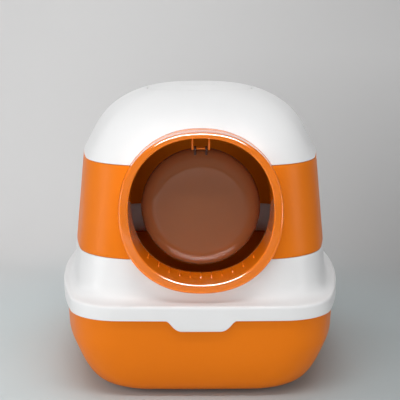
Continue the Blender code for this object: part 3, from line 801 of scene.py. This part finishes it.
def makeFlap():
    columns, radius, bulge = flapLook["columns"], flapLook["radius"], flapLook["bulge"]
    middle = boxOf("flap_panel")[0].z + radius
    rim = bezier([(flapLook["flat"], -bulge), (flapLook["flat"] + 0.014, -bulge), (radius - 0.0015, 0.0005),
                  (radius, flapLook["rim"])], flapLook["rimRings"])
    flat, flatRings = flapLook["flat"], flapLook["flatRings"]
    rings = [(flat * step / flatRings, -bulge) for step in range(flatRings)] + rim

    def place(column, row):
        angle = math.tau * (column % columns) / columns
        reach, depth = rings[row]
        return (reach * math.cos(angle), hinge["y"] + depth, middle + reach * math.sin(angle))

    panel = rolledSheet("flapPanel", columns, len(rings) - 1, place)
    thicken(panel, flapLook["wall"])
    applyModifier(panel, "BEVEL", width=flapLook["edge"], segments=3, limit_method="ANGLE",
                  angle_limit=math.radians(50))
    setFinish(panel, "smoked")
    settle(panel, "flap", "smoked", "flap_panel")
    hooks = joinPieces([part for side in (-1, 1) for part in makeHook(side * hookSizes["x"])])
    hooks.name = hooks.data.name = "flapHooks"
    setFinish(hooks, "hook")
    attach(hooks, "flap")


def makeHook(x):
    # A leg on the flap's face and an eye that turns round the bracket's bar
    sizes, half = hookSizes, hookSizes["width"] / 2
    eye, bore, edge, columns = sizes["eye"], sizes["bore"], sizes["edge"], sizes["columns"]
    profile = [(bore, -half), (eye - edge, -half), (eye, -half + edge),
               (eye, half - edge), (eye - edge, half), (bore, half)]

    def place(column, row):
        angle = math.tau * (column % columns) / columns
        radius, along = profile[row % len(profile)]
        return (x + along, hinge["y"] + radius * math.cos(angle), hinge["z"] + radius * math.sin(angle))

    ring = rolledSheet("hookEye", columns, len(profile), place)
    length = sizes["reach"] - sizes["legTop"]
    middle = (x, hinge["y"] + sizes["legBack"], hinge["z"] - sizes["legTop"] - length / 2)
    leg = block("hookLeg", middle, (sizes["width"], sizes["legDepth"], length), 0.0008)
    return [ring, leg]


makeBracket()
makeFlap()


# The CAD pieces that stay get their finish

def finishCadPieces():
    keeps = {"inner_ring": "ring", "filter_seat": "liner", "filter_pad": "felt", "filter_grille": "liner"}
    for node in frame["nodes"]:
        if node.startswith("foot_"):
            keeps[node] = "rubber"
        if node.startswith("seam_clip_"):
            keeps[node] = "liner"
    for node, finish in keeps.items():
        setFinish(frame["nodes"][node], finish)


finishCadPieces()
print("CAD pieces finished")


# Floor, backdrop, light and camera

# The paper's tone holds painted light: painted shade and shadow to the right, and a painted cool tint close
# to the tray
stageLook = {
    "grey": 0.65, "halfWidth": 60.0, "front": -60.0, "wallY": 1.05, "bend": 0.55, "top": 3.5,
    "paintedBounceTint": (0.87, 0.985, 1.01, 1), "nearFrom": 0.26, "nearTo": 0.75,
    "lowShade": 0.45, "highShade": 0.80, "shadeFrom": -0.35, "shadeTo": 0.75, "shadeTop": 0.38,
}


def makeBackdrop():
    look = stageLook
    run = [(look["front"], 0.0), (look["wallY"] - look["bend"], 0.0)]
    for step in range(1, 25):
        angle = math.pi / 2 * step / 24     # the paper bends up into the wall
        back, up = 1 - math.sin(angle), 1 - math.cos(angle)
        run.append((look["wallY"] - look["bend"] * back, look["bend"] * up))
    run += [(look["wallY"], look["top"])]
    drop = rolledSheet("studioSweep", 1, len(run) - 1, lambda column, row: (
        mix(-look["halfWidth"], look["halfWidth"], column), run[row][0], run[row][1]))
    if drop.data.polygons[0].normal.z < 0:
        activeOnly(drop)
        bpy.ops.object.mode_set(mode="EDIT")
        bpy.ops.mesh.select_all(action="SELECT")
        bpy.ops.mesh.flip_normals()
        bpy.ops.object.mode_set(mode="OBJECT")
    drop.data.materials.append(paperMaterial())


def paperMaterial():
    # Studio paper with painted light: painted shade and shadow darken it to the right, most on the floor
    # and less high on the wall, and a painted cool tint near the tray cancels the tray's orange bounce
    # light
    look = stageLook
    material, nodes, links, shader = newMaterial("paperWithPaintedLight")
    coordinates = nodes.new("ShaderNodeTexCoord")
    parts = nodes.new("ShaderNodeSeparateXYZ")
    links.new(coordinates.outputs["Object"], parts.inputs["Vector"])

    def graded(source, fromLow, fromHigh, toLow, toHigh):
        node = nodes.new("ShaderNodeMapRange")
        node.interpolation_type = "SMOOTHSTEP"
        limits = (("From Min", fromLow), ("From Max", fromHigh), ("To Min", toLow), ("To Max", toHigh))
        for name, value in limits:
            node.inputs[name].default_value = value
        links.new(source, node.inputs["Value"])
        return node.outputs["Result"]

    # Painted shade and shadow: the paper darkens to the right, more on the floor than high up the wall
    grey, across = look["grey"], parts.outputs["X"]
    paintedFloorShade = graded(across, look["shadeFrom"], look["shadeTo"], grey, grey * look["lowShade"])
    paintedWallShade = graded(across, look["shadeFrom"], look["shadeTo"], grey, grey * look["highShade"])
    rise = nodes.new("ShaderNodeMapRange")
    rise.inputs["From Max"].default_value = look["shadeTop"]
    links.new(parts.outputs["Z"], rise.inputs["Value"])
    shade = nodes.new("ShaderNodeMix")
    links.new(rise.outputs["Result"], shade.inputs["Factor"])
    links.new(paintedFloorShade, shade.inputs["A"])
    links.new(paintedWallShade, shade.inputs["B"])
    # Painted cool tint close to the tray, cancelling the orange light that bounces off it onto the paper
    distance = nodes.new("ShaderNodeVectorMath")
    distance.operation = "LENGTH"
    links.new(coordinates.outputs["Object"], distance.inputs[0])
    paintedBounceMask = graded(distance.outputs["Value"], look["nearFrom"], look["nearTo"], 0, 1)
    tint = nodes.new("ShaderNodeMix")
    tint.data_type = "RGBA"
    tint.inputs["A"].default_value = look["paintedBounceTint"]
    tint.inputs["B"].default_value = (1, 1, 1, 1)
    links.new(paintedBounceMask, tint.inputs["Factor"])
    tone = nodes.new("ShaderNodeMix")
    tone.data_type = "RGBA"
    tone.blend_type = "MULTIPLY"
    tone.inputs["Factor"].default_value = 1
    links.new(tint.outputs["Result"], tone.inputs["A"])
    links.new(shade.outputs["Result"], tone.inputs["B"])
    links.new(tone.outputs["Result"], shader.inputs["Base Color"])
    shader.inputs["Roughness"].default_value = 0.75
    shader.inputs["Specular IOR Level"].default_value = 0.2
    # The paper has one side, so that the box can be seen from behind through the wall
    side = nodes.new("ShaderNodeNewGeometry")
    clear = nodes.new("ShaderNodeBsdfTransparent")
    oneSided = nodes.new("ShaderNodeMixShader")
    links.new(side.outputs["Backfacing"], oneSided.inputs["Fac"])
    links.new(shader.outputs["BSDF"], oneSided.inputs[1])
    links.new(clear.outputs["BSDF"], oneSided.inputs[2])
    links.new(oneSided.outputs["Shader"], nodes["Material Output"].inputs["Surface"])
    return material


lights = {
    # name: (place, aimed at, width, height, watts, whether it mirrors in glossy plastic)
    "keyLeft": ((-1.5, -2.2, 1.4), (0, 0, 0.2), 1.5, 1.5, 13.5, False),
    "overhead": ((-0.2, -0.2, 2.2), (0, 0, 0.2), 1.6, 1.2, 10, True),
    "stripTop": ((0.0, -0.75, 1.35), (0, -0.2, 0.3), 1.3, 0.025, 6, True),
    "stripLeft": ((-1.2, -0.35, 0.30), (0, -0.2, 0.25), 0.03, 0.6, 3, True),
    "stripRight": ((1.2, -0.45, 0.30), (0, -0.2, 0.25), 0.03, 0.6, 2.4, True),
    "frontLow": ((-0.15, -2.4, 0.35), (0, 0, 0.22), 1.9, 0.7, 19, False),
    "wallWash": ((0.1, 0.55, 1.5), (0.1, 1.0, 0.5), 2.0, 0.3, 5, False),
    "backFill": ((0.6, 2.3, 1.1), (0, 0.1, 0.2), 1.5, 1.2, 10, False),
    "hoodFill": ((0.0, 0.10, 0.34), (0, 0.15, 0.15), 0.12, 0.10, 0.028, False),
}


worldStrength = 0.22
ringShine = {"place": (0.0, -0.95, 1.25), "aim": (0, -0.24, 0.26), "width": 1.2, "height": 0.7,
             "watts": 170}


def addSoftbox(name, place, target, width, height, watts):
    data = bpy.data.lights.new(name, "AREA")
    data.shape = "RECTANGLE"
    data.size, data.size_y = width, height
    data.energy = watts
    lamp = bpy.data.objects.new(name, data)
    lamp.location = place
    lamp.visible_camera = False
    aim = Vector(target) - Vector(place)
    lamp.rotation_euler = aim.to_track_quat("-Z", "Y").to_euler()
    bpy.context.scene.collection.objects.link(lamp)
    return lamp


def shineOnRing():
    # A softbox that only mirrors in the glossy ring, where it draws thin lines along the roundings
    lamp = addSoftbox("ringShine", *ringShine.values())
    lamp.visible_diffuse = False
    lit = bpy.data.collections.new("ringOnly")
    lit.objects.link(bpy.data.objects["entryRing"])
    lamp.light_linking.receiver_collection = lit


def makeLights():
    for name, (*softbox, mirrored) in lights.items():
        addSoftbox(name, *softbox).visible_glossy = mirrored
    shineOnRing()
    world = bpy.data.worlds.new("studio")
    world.use_nodes = True
    background = world.node_tree.nodes["Background"]
    background.inputs["Color"].default_value = (1, 1, 1, 1)
    background.inputs["Strength"].default_value = worldStrength
    bpy.context.scene.world = world


cameraLook = {"lens": 108.0, "distance": 1.769, "height": 0.5635, "downDegrees": 10.72, "turnDegrees": -0.5}


def makeCamera():
    data = bpy.data.cameras.new("camera")
    data.sensor_width = 36
    data.lens = cameraLook["lens"]
    camera = bpy.data.objects.new("camera", data)
    turn = math.radians(cameraLook["turnDegrees"])
    distance = cameraLook["distance"]
    camera.location = (distance * math.sin(turn), -distance * math.cos(turn), cameraLook["height"])
    camera.rotation_euler = (math.radians(90 - cameraLook["downDegrees"]), 0, turn - math.radians(0.02))
    bpy.context.scene.collection.objects.link(camera)
    bpy.context.scene.camera = camera


makeBackdrop()
makeLights()
makeCamera()
bpy.context.scene.view_settings.view_transform = "Standard"
print("stage set")
